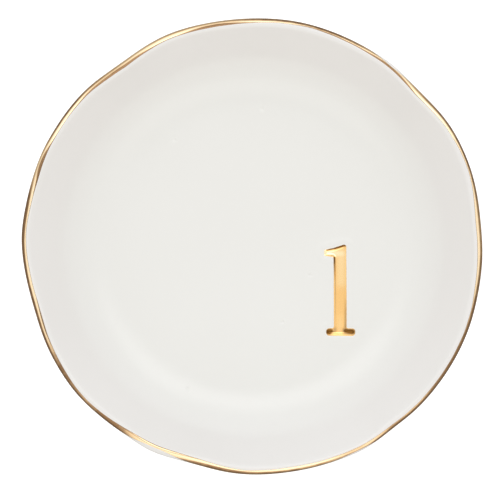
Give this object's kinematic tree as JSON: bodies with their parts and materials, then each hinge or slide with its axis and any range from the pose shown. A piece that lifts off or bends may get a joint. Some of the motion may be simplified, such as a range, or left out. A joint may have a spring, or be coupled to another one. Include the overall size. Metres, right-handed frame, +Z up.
{
  "type": "ring dish",
  "caption": "Round handmade white glazed ceramic ring dish with a pinched, gilded rim and a gilded numeral pressed into its floor, on a bare foot ring.",
  "frame": {"origin": "on the surface that the dish stands on, under the middle of the rim's outline", "axes": "+Z up out of the well, +X to the right and +Y away from the viewer when the numeral reads upright"},
  "size_m": [0.1108, 0.1098, 0.0181],
  "materials": {
    "clay": "bare fired clay, matt and finely sandy",
    "white_glaze": "warm white glaze, soft gloss with faint pinholes",
    "gilding": "brushed-on gold lustre, polished, brown where it thins at its edges"
  },
  "bodies": {
    "root": {"dish_body": "clay", "glaze_coat": "white_glaze", "base_glaze": "white_glaze", "rim_gilding": "gilding", "numeral_gilding": "gilding"}
  },
  "joints": []
}
